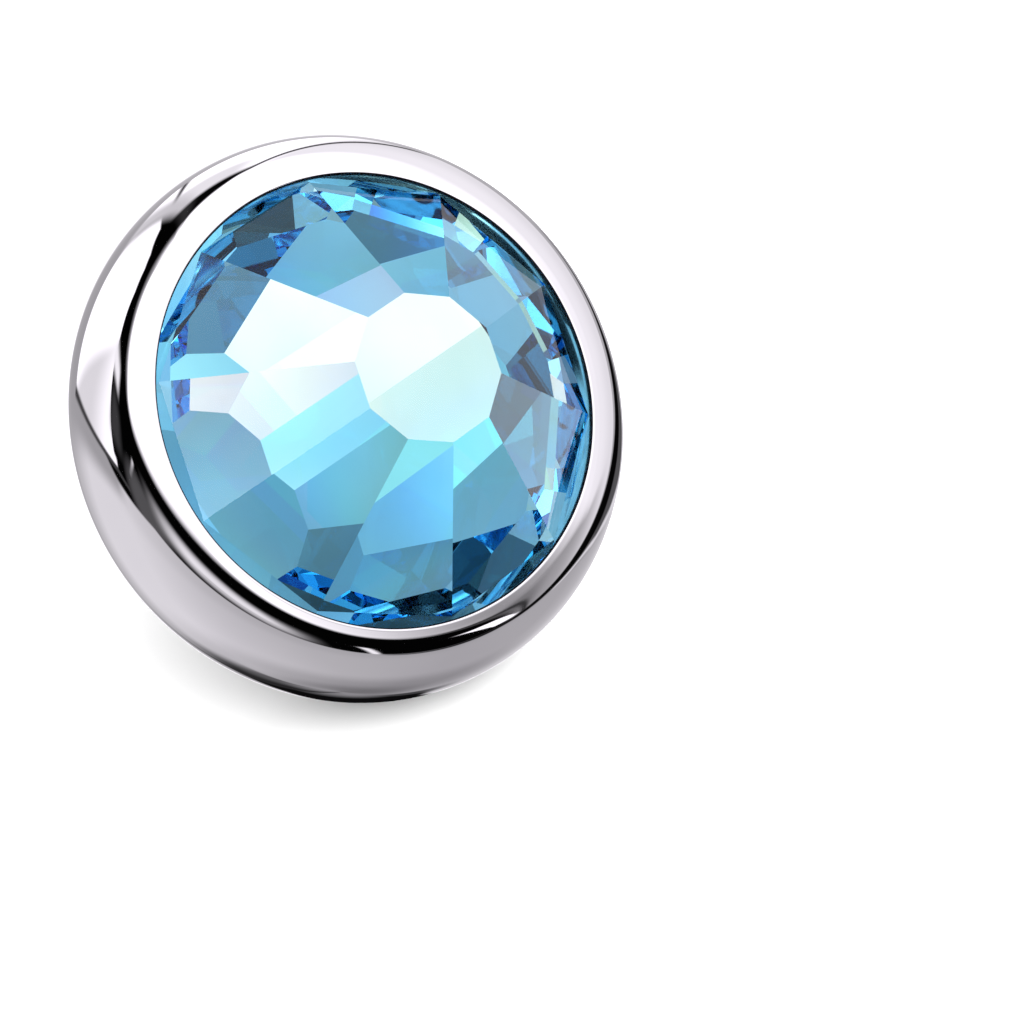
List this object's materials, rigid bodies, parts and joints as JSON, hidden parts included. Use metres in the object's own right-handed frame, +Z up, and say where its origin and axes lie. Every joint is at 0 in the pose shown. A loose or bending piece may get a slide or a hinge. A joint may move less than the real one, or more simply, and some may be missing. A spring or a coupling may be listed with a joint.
{
  "type": "dermal anchor top",
  "caption": "Screw-in body-jewellery top: a low mirror-polished round bezel disc holding a faceted aqua stone, with a threaded post behind.",
  "frame": {"origin": "on the table, under the centre of the part's bounding box", "axes": "+Z up; the disc lies on its rim at -Y with its stone turned up and towards -Y, and the post runs down and back to touch the table with its domed tip at +Y; +X is across the disc"},
  "size_m": [0.005, 0.0042, 0.004],
  "materials": {
    "titanium": "mirror polished",
    "aqua_crystal": "faceted clear aqua glass with a silvered flat back"
  },
  "bodies": {
    "root": {"bezel_setting": "titanium", "crystal": "aqua_crystal"}
  },
  "joints": []
}
